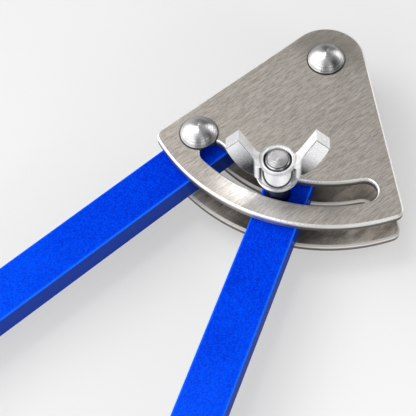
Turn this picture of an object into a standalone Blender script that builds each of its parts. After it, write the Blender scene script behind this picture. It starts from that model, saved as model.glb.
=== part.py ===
"""Wing divider: two slotted sector plates, a fixed bar leg and a swinging bar leg between
them, an apex rivet as pivot, and a bolt with a wing nut that clamps the swinging leg."""
import math

import bmesh
import bpy
from mathutils import Matrix, Vector

# Driving dimensions in metres. The pivot axis is Z, the plates are symmetric about the YZ plane
# and the points lie towards -Y. Leg angles are in degrees from -Y towards +X.
seat_gap = 0.0003
cut_overrun = 0.002
smooth_angle = 30.0

plate_thickness = 0.0036
plate_radius = 0.0640
plate_apex_radius = 0.0131
plate_corner_radius = 0.0030
plate_rim_chamfer = 0.00055
plate_half_angle = 30.4

slot_rim_distance = 0.0117
slot_width = 0.0086
slot_rim_chamfer = 0.0004
slot_left_angle = -25.6
slot_right_angle = 33.0

leg_thickness = 0.0098
leg_inner_reach = 0.0043
leg_outer_reach = 0.0108
leg_length = 0.2820
leg_taper_length = 0.0600
leg_edge_radius = 0.0007
leg_nose_thickness = 0.0074
leg_nose_chamfer = 0.0010
lap_slot_distance = 0.0068
fixed_leg_angle = -28.4
swing_leg_angle = 1.24

rivet_shank_diameter = 0.0060
rivet_head_diameter = 0.0123
rivet_head_height = 0.0042
rivet_head_rim = 0.0002
rivet_tail_diameter = 0.0104
rivet_tail_height = 0.0027
rivet_tail_round = 0.0006
corner_rivet_slot_step = 0.0012
corner_rivet_offset = 0.0058

bolt_diameter = 0.0079
bolt_head_diameter = 0.0196
bolt_head_height = 0.0044
bolt_head_rim = 0.0008
bolt_neck_width = 0.0080
bolt_end_chamfer = 0.0009
bolt_end_stand = 0.0001
bolt_leg_offset = 0.0009

washer_diameter = 0.0138
washer_thickness = 0.0010
washer_edge_chamfer = 0.0002
nut_back_off = 0.008125

nut_barrel_diameter = 0.0102
nut_foot_diameter = 0.0124
nut_ring_diameter = 0.0113
nut_barrel_height = 0.00755
nut_ring_height = 0.0012
nut_ring_chamfer = 0.0003
nut_entry_chamfer = 0.0004
nut_rest_angle = 20.3

wing_pad_reach = 0.0074
wing_pad_width = 0.0054
wing_pad_height = 0.0074
wing_pad_lift = 0.0002
wing_pad_round = 0.0012
wing_root_reach = 0.0046
wing_root_low = 0.00035
wing_root_high = 0.0068
wing_knee_reach = 0.0062
wing_knee_height = 0.0090
wing_peak_reach = 0.01155
wing_peak_height = 0.02185
wing_tip_reach = 0.01575
wing_tip_height = 0.01675
wing_belly_reach = 0.0096
wing_belly_height = 0.0006
wing_flank_reach = 0.0132
wing_flank_height = 0.0072
wing_tip_thickness = 0.0043
wing_root_thickness = 0.0046
wing_edge_round = 0.00035
wing_smooth_angle = 35.0

point_diameter = 0.0040
point_length = 0.0400
point_stand = 0.0180
point_cone_length = 0.0120
point_tip_diameter = 0.0002
point_draw_in = 0.0100

screw_diameter = 0.0040
screw_sink = 0.0003
screw_chamfer = 0.0003
screw_socket_width = 0.0020
screw_socket_depth = 0.0013
screw_nose_distance = 0.0080

# Facet counts
round_steps = 48
small_round_steps = 28
dome_steps = 9
edge_steps = 3
corner_steps = 8
apex_steps = 22
rim_arc_steps = 48
slot_arc_steps = 40
slot_end_steps = 12
wing_curve_steps = 12
wing_edge_steps = 2
socket_corners = 6

# Heights of the layers, from the pivot rivet's flat tail upwards
rear_plate_low = rivet_tail_height + seat_gap
rear_plate_high = rear_plate_low + plate_thickness
leg_low = rear_plate_high + seat_gap
leg_high = leg_low + leg_thickness
leg_middle = (leg_low + leg_high) / 2
front_plate_low = leg_high + seat_gap
front_plate_high = front_plate_low + plate_thickness
washer_low = front_plate_high + seat_gap + nut_back_off
washer_high = washer_low + washer_thickness
nut_low = washer_high + seat_gap
bolt_end_high = nut_low + nut_barrel_height + bolt_end_stand

# Places that follow from the sizes above
slot_radius = plate_radius - slot_rim_distance
lap_radius = slot_radius - lap_slot_distance
corner_rivet_distance = slot_radius - corner_rivet_slot_step
rivet_hole_radius = rivet_shank_diameter / 2 + seat_gap
bolt_hole_radius = bolt_diameter / 2 + seat_gap
bolt_distance_along_leg = math.sqrt(slot_radius ** 2 - bolt_leg_offset ** 2)
bolt_angle_in_leg = math.degrees(math.asin(bolt_leg_offset / slot_radius))


def clear_scene():
    for old in list(bpy.data.objects):
        bpy.data.objects.remove(old, do_unlink=True)


def make_material(name, colour, metallic, roughness):
    material = bpy.data.materials.new(name)
    material.use_nodes = True
    shader = material.node_tree.nodes["Principled BSDF"]
    shader.inputs["Base Color"].default_value = (*colour, 1.0)
    shader.inputs["Metallic"].default_value = metallic
    shader.inputs["Roughness"].default_value = roughness
    material.diffuse_color = (*colour, 1.0)
    return material


def polar(radius, angle):
    """Point in the XY plane at an angle from -Y towards +X."""
    return Vector((radius * math.sin(angle), -radius * math.cos(angle)))


def arc(centre, radius, start, end, steps):
    """Points round a centre, angles measured as in polar()."""
    turn = (end - start) / steps
    return [Vector(centre) + polar(radius, start + turn * step) for step in range(steps + 1)]


def finish(name, mesh_maker, material, crease_angle=smooth_angle):
    """Turn a bmesh into a named object with outward faces and smooth round sides."""
    bmesh.ops.recalc_face_normals(mesh_maker, faces=mesh_maker.faces)
    mesh = bpy.data.meshes.new(name)
    mesh_maker.to_mesh(mesh)
    mesh_maker.free()
    mesh.shade_smooth()
    mesh.set_sharp_from_angle(angle=math.radians(crease_angle))
    if material is not None:
        mesh.materials.append(material)
    piece = bpy.data.objects.new(name, mesh)
    bpy.context.scene.collection.objects.link(piece)
    return piece


def loft(name, loops, material=None):
    """Solid through closed loops of equal count, capped at both ends."""
    maker = bmesh.new()
    rings = [[maker.verts.new(point) for point in loop] for loop in loops]
    count = len(rings[0])
    for low, high in zip(rings, rings[1:]):
        for index in range(count):
            following = (index + 1) % count
            maker.faces.new((low[index], low[following], high[following], high[index]))
    maker.faces.new(list(reversed(rings[0])))
    maker.faces.new(rings[-1])
    return finish(name, maker, material)


def layered(name, outline, levels, material=None):
    """Flat piece: outline(inset) gives its edge, levels are (height, inset) from low to high."""
    loops = [[(*point, height) for point in outline(inset)] for height, inset in levels]
    return loft(name, loops, material)


def chamfered_levels(low, high, chamfer):
    return [(low, chamfer), (low + chamfer, 0), (high - chamfer, 0), (high, chamfer)]


def flared_levels(low, high, chamfer):
    """Levels of a cutter that leaves a chamfer round both mouths of its hole."""
    spill = chamfer + cut_overrun
    return [(low - cut_overrun, -spill), (low + chamfer, 0), (high - chamfer, 0),
            (high + cut_overrun, -spill)]


def turned(name, profile, material=None, steps=round_steps, closed=False):
    """Solid of revolution about Z from a profile of (radius, height) points."""
    maker = bmesh.new()
    points = [maker.verts.new((radius, 0, height)) for radius, height in profile]
    pairs = list(zip(points, points[1:]))
    if closed:
        pairs.append((points[-1], points[0]))
    edges = [maker.edges.new(pair) for pair in pairs]
    bmesh.ops.spin(maker, geom=points + edges, cent=(0, 0, 0), axis=(0, 0, 1),
                   angle=math.tau, steps=steps, use_merge=True)
    bmesh.ops.remove_doubles(maker, verts=maker.verts, dist=seat_gap / round_steps ** 2)
    return finish(name, maker, material)


def dome(radius, low, height, steps=dome_steps):
    """Profile of a round head: a sphere cap from its rim to its crown."""
    sphere = (radius ** 2 + height ** 2) / (2 * height)
    spread = math.asin(min(1, radius / sphere))
    if height > radius:
        spread = math.pi - spread
    centre = low + height - sphere
    rows = [spread * (1 - step / steps) for step in range(steps + 1)]
    return [(sphere * math.sin(row), centre + sphere * math.cos(row)) for row in rows]


def as_guide(piece):
    piece.hide_render = True
    piece.display_type = "WIRE"
    return piece


def combine(target, tool, operation):
    """Boolean that stays on the target. The tool rides with the target as a hidden guide."""
    as_guide(tool)
    if tool.parent is None:
        tool.parent = target
    step = target.modifiers.new(tool.name, "BOOLEAN")
    step.object = tool
    step.operation = operation
    step.solver = "EXACT"


def cut(target, tool):
    combine(target, tool, "DIFFERENCE")


def hole_cutter(name, radius, low, high, place, steps=small_round_steps):
    """Upright cylinder through a plate or a leg, past both faces."""
    edge = arc((0, 0), radius, 0, math.tau * (1 - 1 / steps), steps - 1)
    levels = [low - cut_overrun, high + cut_overrun]
    tool = loft(name, [[(*point, height) for point in edge] for height in levels])
    tool.location = (*place, 0)
    return tool


def sector_outline(inset):
    """Plate edge: apex arc round the pivot, two straight sides, round corners, rim arc."""
    half = math.radians(plate_half_angle)
    corner_round = plate_corner_radius - inset
    reach = plate_radius - plate_corner_radius
    side = plate_apex_radius - plate_corner_radius
    corner_angle = half + math.asin(side / reach)
    left = polar(reach, -corner_angle)
    right = polar(reach, corner_angle)
    quarter = math.pi / 2
    apex_arc = arc((0, 0), plate_apex_radius - inset, half + quarter,
                   3 * quarter - half, apex_steps)
    left_arc = arc(left, corner_round, -half - quarter, -corner_angle, corner_steps)
    rim_arc = arc((0, 0), plate_radius - inset, -corner_angle, corner_angle, rim_arc_steps)
    right_arc = arc(right, corner_round, corner_angle, half + quarter, corner_steps)
    return apex_arc + left_arc[:-1] + rim_arc + right_arc[1:]


def slot_outline(inset):
    """Arc slot round the pivot with round ends; a negative inset makes it wider."""
    half_width = slot_width / 2 - inset
    start = math.radians(slot_left_angle)
    end = math.radians(slot_right_angle)
    outer = arc((0, 0), slot_radius + half_width, start, end, slot_arc_steps)
    right_cap = arc(polar(slot_radius, end), half_width, end, end + math.pi, slot_end_steps)
    inner = arc((0, 0), slot_radius - half_width, end, start, slot_arc_steps)
    left_cap = arc(polar(slot_radius, start), half_width, start + math.pi,
                   start + math.tau, slot_end_steps)
    return outer + right_cap[1:-1] + inner + left_cap[1:-1]


def leg_to_world(side_offset, distance, leg_angle):
    """Place given along a leg and sideways from its hole line, +X side positive."""
    turn = Matrix.Rotation(math.radians(leg_angle), 2)
    return turn @ Vector((side_offset, -distance))


def build_plate(name, low, high, material):
    plate = layered(name, sector_outline, chamfered_levels(low, high, plate_rim_chamfer), material)
    slot_levels = flared_levels(low, high, slot_rim_chamfer)
    cut(plate, layered(name + "_slot_cutter", slot_outline, slot_levels))
    cut(plate, hole_cutter(name + "_pivot_cutter", rivet_hole_radius, low, high, (0, 0)))
    corner = leg_to_world(-corner_rivet_offset, corner_rivet_distance, fixed_leg_angle)
    cut(plate, hole_cutter(name + "_corner_cutter", rivet_hole_radius, low, high, corner))
    return plate


def leg_section(distance, outer_reach, thickness, inset, side):
    """Bar section with round edges. The outer side faces +X where side is 1."""
    half_x = (leg_inner_reach + outer_reach) / 2 - inset
    half_z = thickness / 2 - inset
    middle_x = (outer_reach - leg_inner_reach) / 2
    quarter = math.pi / 2
    loop = []
    for number, (sign_x, sign_z) in enumerate(((1, 1), (-1, 1), (-1, -1), (1, -1))):
        centre = Vector((sign_x * (half_x - leg_edge_radius), sign_z * (half_z - leg_edge_radius)))
        start = quarter * (number + 1)
        for point in arc(centre, leg_edge_radius, start, start + quarter, edge_steps):
            loop.append((side * (middle_x + point.x), -distance, leg_middle + point.y))
    return loop


def build_leg(name, side, leg_angle, lap_low, lap_high, material):
    """Bar with a tapered nose, a round pivot end halved in thickness, and its bores."""
    nose_start = leg_length - leg_taper_length
    sections = [
        leg_section(-leg_outer_reach - cut_overrun, leg_outer_reach, leg_thickness, 0, side),
        leg_section(nose_start, leg_outer_reach, leg_thickness, 0, side),
        leg_section(leg_length - leg_nose_chamfer, leg_inner_reach, leg_nose_thickness, 0, side),
        leg_section(leg_length, leg_inner_reach, leg_nose_thickness, leg_nose_chamfer, side),
    ]
    leg = loft(name, sections, material)
    leg.rotation_euler.z = math.radians(leg_angle)

    quarter = math.pi / 2
    trim = arc((0, 0), leg_outer_reach, quarter, 3 * quarter, apex_steps)
    trim += arc((0, 0), leg_outer_reach * 2, 3 * quarter, quarter, apex_steps)
    trim_heights = (leg_low - cut_overrun, leg_high + cut_overrun)
    cut(leg, loft(name + "_end_cutter", [[(*point, height) for point in trim]
                                         for height in trim_heights]))

    lap_edge = arc((0, 0), lap_radius, 0, math.tau * (1 - 1 / round_steps), round_steps - 1)
    cut(leg, loft(name + "_lap_cutter", [[(*point, height) for point in lap_edge]
                                         for height in (lap_low, lap_high)]))
    cut(leg, hole_cutter(name + "_pivot_cutter", rivet_hole_radius, leg_low, leg_high, (0, 0)))

    bore_radius = point_diameter / 2 + seat_gap
    bore_depth = point_length - point_stand + point_draw_in + seat_gap
    bore_edge = arc((0, 0), bore_radius, 0, math.tau * (1 - 1 / small_round_steps),
                    small_round_steps - 1)
    bore_ends = (leg_length - bore_depth, leg_length + cut_overrun)
    cut(leg, loft(name + "_point_cutter", [[(point.x, -distance, leg_middle + point.y)
                                            for point in bore_edge] for distance in bore_ends]))
    screw_place = (0, screw_nose_distance - leg_length)
    cut(leg, hole_cutter(name + "_screw_cutter", screw_diameter / 2 + seat_gap, leg_middle,
                         leg_high, screw_place))
    return leg


def build_rivet(name, material):
    """Solid rivet: round head on the front plate, flat upset tail behind the rear plate."""
    shank = rivet_shank_diameter / 2
    head = rivet_head_diameter / 2
    tail = rivet_tail_diameter / 2
    head_low = front_plate_high + seat_gap
    profile = [(0, 0), (tail - rivet_tail_round, 0)]
    profile += [(tail, rivet_tail_round), (tail, rivet_tail_height - rivet_tail_round)]
    profile += [(tail - rivet_tail_round, rivet_tail_height), (shank, rivet_tail_height)]
    profile += [(shank, head_low), (head, head_low)]
    profile += dome(head, head_low + rivet_head_rim, rivet_head_height - rivet_head_rim)
    return turned(name, profile, material)


def build_clamp_bolt(material):
    """Round-head bolt with a square neck that keeps it from turning in the rear slot."""
    shank = bolt_diameter / 2
    head = bolt_head_diameter / 2
    head_high = rivet_tail_height
    crown = dome(head, 0, bolt_head_height - bolt_head_rim)
    profile = [(radius, head_high - bolt_head_rim - height) for radius, height in reversed(crown)]
    profile += [(head, head_high), (shank, head_high), (shank, bolt_end_high - bolt_end_chamfer)]
    profile += [(shank - bolt_end_chamfer, bolt_end_high), (0, bolt_end_high)]
    bolt = turned("clamp_bolt", profile, material)
    half = bolt_neck_width / 2
    square = [(-half, -half), (half, -half), (half, half), (-half, half)]
    heights = (head_high - bolt_head_rim / 2, rear_plate_high)
    neck = loft("clamp_bolt_neck_guide", [[(*corner, height) for corner in square]
                                          for height in heights])
    combine(bolt, neck, "UNION")
    return bolt


def build_washer(material):
    outer = washer_diameter / 2
    inner = bolt_hole_radius
    edge = washer_edge_chamfer
    profile = [(inner, 0), (outer - edge, 0), (outer, edge), (outer, washer_thickness - edge),
               (outer - edge, washer_thickness), (inner, washer_thickness)]
    return turned("nut_washer", profile, material, closed=True)


def bezier(start, first, second, end, steps):
    """Points of a cubic curve, its start left out."""
    points = []
    for step in range(1, steps + 1):
        near = step / steps
        far = 1 - near
        point = far ** 3 * Vector(start) + 3 * far ** 2 * near * Vector(first)
        point += 3 * far * near ** 2 * Vector(second) + near ** 3 * Vector(end)
        points.append(point)
    return points


def build_wing(name, side):
    """One wing of the nut: a blade that rises outwards, thicker at its root."""
    root_low = (wing_root_reach, wing_root_low)
    tip = (wing_tip_reach, wing_tip_height)
    outline = [Vector(root_low)]
    outline += bezier(root_low, (wing_belly_reach, wing_belly_height),
                      (wing_flank_reach, wing_flank_height), tip, wing_curve_steps)
    outline.append(Vector((wing_peak_reach, wing_peak_height)))
    outline.append(Vector((wing_knee_reach, wing_knee_height)))
    outline.append(Vector((wing_root_reach, wing_root_high)))
    maker = bmesh.new()
    half = wing_root_thickness / 2
    front = maker.faces.new([maker.verts.new((side * x, -half, z)) for x, z in outline])
    grown = bmesh.ops.extrude_face_region(maker, geom=[front], use_keep_orig=True)
    moved = [item for item in grown["geom"] if isinstance(item, bmesh.types.BMVert)]
    bmesh.ops.translate(maker, verts=moved, vec=(0, wing_root_thickness, 0))
    bmesh.ops.recalc_face_normals(maker, faces=maker.faces)
    rim = [edge for edge in maker.edges
           if abs(edge.verts[0].co.y - edge.verts[1].co.y) < half]
    bmesh.ops.bevel(maker, geom=rim, offset=wing_edge_round, segments=wing_edge_steps,
                    profile=0.5, affect="EDGES")
    reach = wing_tip_reach - wing_root_reach
    for vertex in maker.verts:
        along = (abs(vertex.co.x) - wing_root_reach) / reach
        thickness = wing_root_thickness + (wing_tip_thickness - wing_root_thickness) * along
        vertex.co.y *= thickness / wing_root_thickness
    return finish(name, maker, None, wing_smooth_angle)


def build_wing_pad(name, side):
    """Rounded block that joins a wing to the barrel."""
    middle = side * (wing_root_reach + wing_pad_reach) / 2
    half_x = (wing_pad_reach - wing_root_reach) / 2
    half_y = wing_pad_width / 2
    quarter = math.pi / 2

    def outline(inset):
        loop = []
        for number, (sign_x, sign_y) in enumerate(((1, 1), (-1, 1), (-1, -1), (1, -1))):
            centre = (middle + sign_x * (half_x - wing_pad_round),
                      sign_y * (half_y - wing_pad_round))
            start = quarter * (number + 1)
            loop += arc(centre, wing_pad_round - inset, start, start + quarter, edge_steps)
        return loop

    top_inset = wing_pad_round / 2
    levels = [(wing_pad_lift, 0), (wing_pad_height - top_inset, 0), (wing_pad_height, top_inset)]
    return layered(name, outline, levels)


def build_wing_nut(material):
    """Barrel that widens to its foot, a ring round its mouth, two rounded pads, two wings."""
    bore = bolt_hole_radius
    foot = nut_foot_diameter / 2
    barrel = nut_barrel_diameter / 2
    ring = nut_ring_diameter / 2
    ring_low = nut_barrel_height - nut_ring_height
    profile = [(bore, 0), (foot - nut_ring_chamfer, 0), (foot, nut_ring_chamfer),
               (barrel, ring_low - (ring - barrel)), (ring, ring_low),
               (ring, nut_barrel_height - nut_ring_chamfer),
               (ring - nut_ring_chamfer, nut_barrel_height),
               (bore + nut_entry_chamfer, nut_barrel_height),
               (bore, nut_barrel_height - nut_entry_chamfer)]
    nut = turned("wing_nut", profile, material, closed=True)
    for name, side in (("right", 1), ("left", -1)):
        combine(nut, build_wing_pad("wing_nut_" + name + "_pad_guide", side), "UNION")
        combine(nut, build_wing("wing_nut_" + name + "_wing_guide", side), "UNION")
    return nut


def build_point(name, material):
    """Scriber point: ground pin with a long cone, its axis in the leg's middle plane."""
    radius = point_diameter / 2
    tip = point_tip_diameter / 2
    profile = [(0, 0), (tip, 0), (radius, point_cone_length),
               (radius, point_length - tip), (radius - tip, point_length), (0, point_length)]
    return turned(name, profile, material, steps=small_round_steps)


def build_set_screw(name, material):
    """Socket set screw, sunk just under the leg's face, its end on the point."""
    radius = screw_diameter / 2
    length = leg_nose_drop() - screw_sink - seat_gap - point_diameter / 2
    profile = [(0, 0), (radius - screw_chamfer, 0), (radius, screw_chamfer),
               (radius, length - screw_chamfer), (radius - screw_chamfer, length), (0, length)]
    screw = turned(name, profile, material, steps=small_round_steps)
    socket_radius = screw_socket_width / math.sqrt(3)
    edge = arc((0, 0), socket_radius, 0, math.tau * (1 - 1 / socket_corners),
               socket_corners - 1)
    heights = (length - screw_socket_depth, length + cut_overrun)
    cut(screw, loft(name + "_socket_cutter", [[(*point, height) for point in edge]
                                              for height in heights]))
    return screw


def leg_nose_drop():
    """Height of the nose's front face above the leg's middle, at the set screw."""
    taper_run = leg_taper_length - leg_nose_chamfer
    share = (screw_nose_distance - leg_nose_chamfer) / taper_run
    return (leg_nose_thickness + (leg_thickness - leg_nose_thickness) * share) / 2


def place_on_leg(piece, leg, side_offset, distance, height):
    piece.parent = leg
    piece.location = (side_offset, -distance, height)


def build():
    clear_scene()
    steel = make_material("brushed_stainless", (0.52, 0.49, 0.45), 1.0, 0.36)
    blue = make_material("blue_powder_coat", (0.004, 0.075, 0.72), 0.0, 0.38)
    chrome = make_material("polished_nickel", (0.78, 0.78, 0.78), 1.0, 0.14)
    cast = make_material("bright_zinc", (0.76, 0.77, 0.79), 1.0, 0.2)
    tool_steel = make_material("hardened_steel", (0.42, 0.42, 0.43), 1.0, 0.28)
    black_oxide = make_material("black_oxide", (0.05, 0.05, 0.055), 0.9, 0.42)

    build_plate("rear_plate", rear_plate_low, rear_plate_high, steel)
    build_plate("front_plate", front_plate_low, front_plate_high, steel)

    half_gap = seat_gap / 2
    fixed_leg = build_leg("fixed_leg", -1, fixed_leg_angle, leg_middle - half_gap,
                          leg_high + cut_overrun, blue)
    swing_leg = build_leg("swing_leg", 1, swing_leg_angle, leg_low - cut_overrun,
                          leg_middle + half_gap, blue)
    corner_hole = (-corner_rivet_offset, -corner_rivet_distance)
    cut(fixed_leg, hole_cutter("fixed_leg_corner_cutter", rivet_hole_radius, leg_low, leg_high,
                               corner_hole))
    bolt_hole = (bolt_leg_offset, -bolt_distance_along_leg)
    cut(swing_leg, hole_cutter("swing_leg_bolt_cutter", bolt_hole_radius, leg_low, leg_high,
                               bolt_hole))

    build_rivet("pivot_rivet", chrome)
    corner_rivet = build_rivet("corner_rivet", chrome)
    place_on_leg(corner_rivet, fixed_leg, -corner_rivet_offset, corner_rivet_distance, 0)

    bolt = build_clamp_bolt(cast)
    place_on_leg(bolt, swing_leg, bolt_leg_offset, bolt_distance_along_leg, 0)
    bolt.rotation_euler.z = math.radians(bolt_angle_in_leg)
    washer = build_washer(cast)
    washer.parent = bolt
    washer.location.z = washer_low
    nut = build_wing_nut(cast)
    nut.parent = washer
    nut.location.z = nut_low - washer_low
    nut.rotation_euler.z = math.radians(nut_rest_angle - swing_leg_angle - bolt_angle_in_leg)

    for name, leg in (("fixed", fixed_leg), ("swing", swing_leg)):
        point = build_point(name + "_point", tool_steel)
        place_on_leg(point, leg, 0, leg_length + point_stand, leg_middle)
        point.rotation_euler.x = -math.pi / 2
        screw = build_set_screw(name + "_set_screw", black_oxide)
        screw_low = leg_middle + point_diameter / 2 + seat_gap
        place_on_leg(screw, leg, 0, leg_length - screw_nose_distance, screw_low)


build()
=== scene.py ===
# %% [markdown]
# # A wing divider
#
# A wing divider scribes large circles in wood or sheet metal. Two bars in blue powder coat
# turn on a rivet between two stainless sector plates. One bar is riveted fast, and the other
# is clamped in an arc slot by a bolt with a wing nut. This lesson dresses the finished solids:
# they come in as a fixed frame, and every material and every finer piece is made here.

# %% Load the solids
import math

import bmesh
import bpy
from mathutils import Matrix, Vector


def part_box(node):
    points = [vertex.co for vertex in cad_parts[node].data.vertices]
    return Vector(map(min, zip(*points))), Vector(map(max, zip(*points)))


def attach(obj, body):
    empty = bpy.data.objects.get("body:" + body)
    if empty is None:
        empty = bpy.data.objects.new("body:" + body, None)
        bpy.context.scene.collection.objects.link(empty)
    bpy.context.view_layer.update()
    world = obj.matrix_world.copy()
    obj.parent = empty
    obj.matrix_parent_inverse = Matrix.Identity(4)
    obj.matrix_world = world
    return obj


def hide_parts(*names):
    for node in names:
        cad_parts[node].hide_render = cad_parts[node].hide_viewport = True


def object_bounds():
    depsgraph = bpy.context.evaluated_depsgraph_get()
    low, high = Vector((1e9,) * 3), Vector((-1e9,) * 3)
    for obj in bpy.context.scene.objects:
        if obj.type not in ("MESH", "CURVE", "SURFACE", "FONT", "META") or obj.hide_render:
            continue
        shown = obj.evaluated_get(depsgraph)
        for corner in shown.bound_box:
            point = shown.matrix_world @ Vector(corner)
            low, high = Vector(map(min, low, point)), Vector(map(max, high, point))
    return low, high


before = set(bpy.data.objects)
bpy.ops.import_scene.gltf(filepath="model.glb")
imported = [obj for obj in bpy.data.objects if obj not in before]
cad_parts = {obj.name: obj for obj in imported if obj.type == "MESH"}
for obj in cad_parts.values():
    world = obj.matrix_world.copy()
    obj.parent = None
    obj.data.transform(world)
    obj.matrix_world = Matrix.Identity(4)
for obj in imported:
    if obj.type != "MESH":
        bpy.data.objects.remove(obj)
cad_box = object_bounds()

# %% [markdown]
# ## Sizes that the finer pieces share
#
# The solids already say where everything is, so most places are read from them. A few are
# the maker's own: the thread of the clamp bolt, and the direction in which the plates were
# pulled over the grinding belt, which is along their left edge.

# %% Places on the tool
bolt_low, bolt_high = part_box("clamp_bolt")
bolt_axis = (bolt_low + bolt_high) / 2
front_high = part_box("front_plate")[1]
rear_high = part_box("rear_plate")[1]
leg_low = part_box("swing_leg")[0]
washer_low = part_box("nut_washer")[0]
nut_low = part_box("wing_nut")[0]
rivet_low, rivet_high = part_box("corner_rivet")
rivet_axis = (rivet_low + rivet_high) / 2
rivet_reach = (rivet_high.x - rivet_low.x) / 2
pivot = (0.0, 0.0, 0.0)
brush_turn = math.radians(30.4)

# %% [markdown]
# ## Camera
#
# The photograph looks down on the plates from the lower right, with a long lens that keeps
# the bars nearly parallel. The place and the turn of the camera were worked out from the arcs
# of the plates and the edges of the bars, so the render lies over the photograph.

# %% Camera
lens_length = 106.33
camera_place = Vector((0.070401, -0.234842, 0.363647))
camera_turn = Matrix((
    (0.92581012, -0.30679587, 0.22079838),
    (0.37463544, 0.82240813, -0.42812751),
    (-0.05023864, 0.47908368, 0.87633037),
))
camera_data = bpy.data.cameras.new("camera")
camera_data.lens = lens_length
camera_data.sensor_width = 36.0
camera_data.clip_start = 0.01
camera = bpy.data.objects.new("camera", camera_data)
camera.matrix_world = Matrix.Translation(camera_place) @ camera_turn.to_4x4()
bpy.context.scene.collection.objects.link(camera)
bpy.context.scene.camera = camera
bpy.context.scene.view_settings.view_transform = "Standard"
print("camera", round(camera_place.length, 3), "m from the pivot")

# %% [markdown]
# ## Helpers for shader nodes
#
# Shader trees get long when every node takes three lines. A few small helpers keep them
# short: one adds a node and sets its values, three do sums with numbers and vectors, one takes
# a vector apart, one stretches a range, two make a soft step up or down, and one mixes two
# colours. They go in a cell of their own, because everything below uses them.

# %% Node helpers
def add(tree, kind, settings=None, **values):
    """Add a shader node. Settings are its properties, values fill input sockets by name."""
    node = tree.nodes.new(kind)
    for name, value in (settings or {}).items():
        setattr(node, name, value)
    for name, value in values.items():
        node.inputs[name.replace("_", " ")].default_value = value
    return node


def sum_node(tree, kind, operation, values):
    """A Math or Vector Math node whose inputs are sockets or plain values."""
    node = add(tree, kind, {"operation": operation})
    for slot, value in enumerate(values):
        if isinstance(value, bpy.types.NodeSocket):
            tree.links.new(value, node.inputs[slot])
        else:
            node.inputs[slot].default_value = value
    return node.outputs


def math_node(tree, operation, *values):
    """A sum with numbers."""
    return sum_node(tree, "ShaderNodeMath", operation, values)["Value"]


def vector_node(tree, operation, *values):
    """A sum with vectors. A length and a dot product are numbers, the rest are vectors."""
    given_back = "Value" if operation in ("LENGTH", "DOT_PRODUCT") else "Vector"
    return sum_node(tree, "ShaderNodeVectorMath", operation, values)[given_back]


def part_of(tree, whole, axis):
    """One of the three numbers of a vector."""
    node = add(tree, "ShaderNodeSeparateXYZ")
    tree.links.new(whole, node.inputs[0])
    return node.outputs[axis]


def remap(tree, value, low, high, new_low, new_high):
    """Stretch a varying value from one range to another, and keep it inside the new one."""
    node = add(tree, "ShaderNodeMapRange", From_Min=low, From_Max=high, To_Min=new_low,
               To_Max=new_high)
    tree.links.new(value, node.inputs["Value"])
    return node.outputs["Result"]


def rising(tree, value, low, high):
    """A soft step: 0 below the range, 1 above it."""
    return remap(tree, value, low, high, 0.0, 1.0)


def falling(tree, value, low, high):
    """A soft step: 1 below the range, 0 above it."""
    return remap(tree, value, low, high, 1.0, 0.0)


def blend(tree, factor, first, second):
    """Mix two colours by a varying factor. A colour is a socket or three numbers."""
    node = add(tree, "ShaderNodeMix", {"data_type": "RGBA"})
    tree.links.new(factor, node.inputs[0])
    for slot, colour in ((6, first), (7, second)):
        if isinstance(colour, bpy.types.NodeSocket):
            tree.links.new(colour, node.inputs[slot])
        else:
            node.inputs[slot].default_value = (*colour, 1.0)
    return node.outputs[2]


print("node helpers ready")

# %% [markdown]
# ## Floor
#
# The photograph was taken on a pale table. A flat sheet under the tool is enough for this
# steep view, and it is large, so that its far edge stays out of sight.

# %% Floor sheet
floor_height = cad_box[0][2]
floor_reach = 3.0
floor_mesh = bpy.data.meshes.new("floor")
corners = [(-1, -1), (1, -1), (1, 1), (-1, 1)]
floor_mesh.from_pydata([(x * floor_reach, y * floor_reach, floor_height) for x, y in corners],
                       [], [(0, 1, 2, 3)])
floor = bpy.data.objects.new("floor", floor_mesh)
bpy.context.scene.collection.objects.link(floor)

# %% [markdown]
# Where the camera sees it, the sheet glows a little by itself, so that it stays nearly white
# while the bars still leave a soft shadow. The light on the tool doesn't change with that
# share. The glow is a little weaker towards the back and the right, as the table is in the
# photograph. Bright metal mirrors the table too, and an endless white one would leave the
# rivets and the nut without any dark line, so what they mirror of the sheet is dimmer.

# %% Floor paint
floor_pale = (0.88, 0.88, 0.875)
floor_mirrored = (0.58, 0.58, 0.58)
glow_share = 0.46
glow_colour = (0.855, 0.858, 0.861, 1.0)
# Two stretches of the sheet in metres, each followed by the glow at its two ends.
glow_to_back = (-0.13, 0.04, 1.04, 0.83)
glow_to_right = (0.04, 0.12, 0.0, 0.12)
floor_paint = bpy.data.materials.new("floor_paint")
floor_paint.use_nodes = True
tree = floor_paint.node_tree
shader = tree.nodes["Principled BSDF"]
shader.inputs["Roughness"].default_value = 0.75
shader.inputs["Specular IOR Level"].default_value = 0.1
place = add(tree, "ShaderNodeTexCoord").outputs["Object"]
path = add(tree, "ShaderNodeLightPath")
tree.links.new(blend(tree, path.outputs["Is Glossy Ray"], floor_pale, floor_mirrored),
               shader.inputs["Base Color"])
glow = add(tree, "ShaderNodeEmission", Color=glow_colour)
at_depth = remap(tree, part_of(tree, place, "Y"), *glow_to_back)
at_right = remap(tree, part_of(tree, place, "X"), *glow_to_right)
tree.links.new(math_node(tree, "SUBTRACT", at_depth, at_right), glow.inputs["Strength"])
mix = add(tree, "ShaderNodeMixShader")
tree.links.new(math_node(tree, "MULTIPLY", path.outputs["Is Camera Ray"], glow_share),
               mix.inputs[0])
tree.links.new(shader.outputs[0], mix.inputs[1])
tree.links.new(glow.outputs[0], mix.inputs[2])
tree.links.new(mix.outputs[0], tree.nodes["Material Output"].inputs["Surface"])
floor_mesh.materials.append(floor_paint)
print("floor painted, glow share", glow_share)

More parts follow.
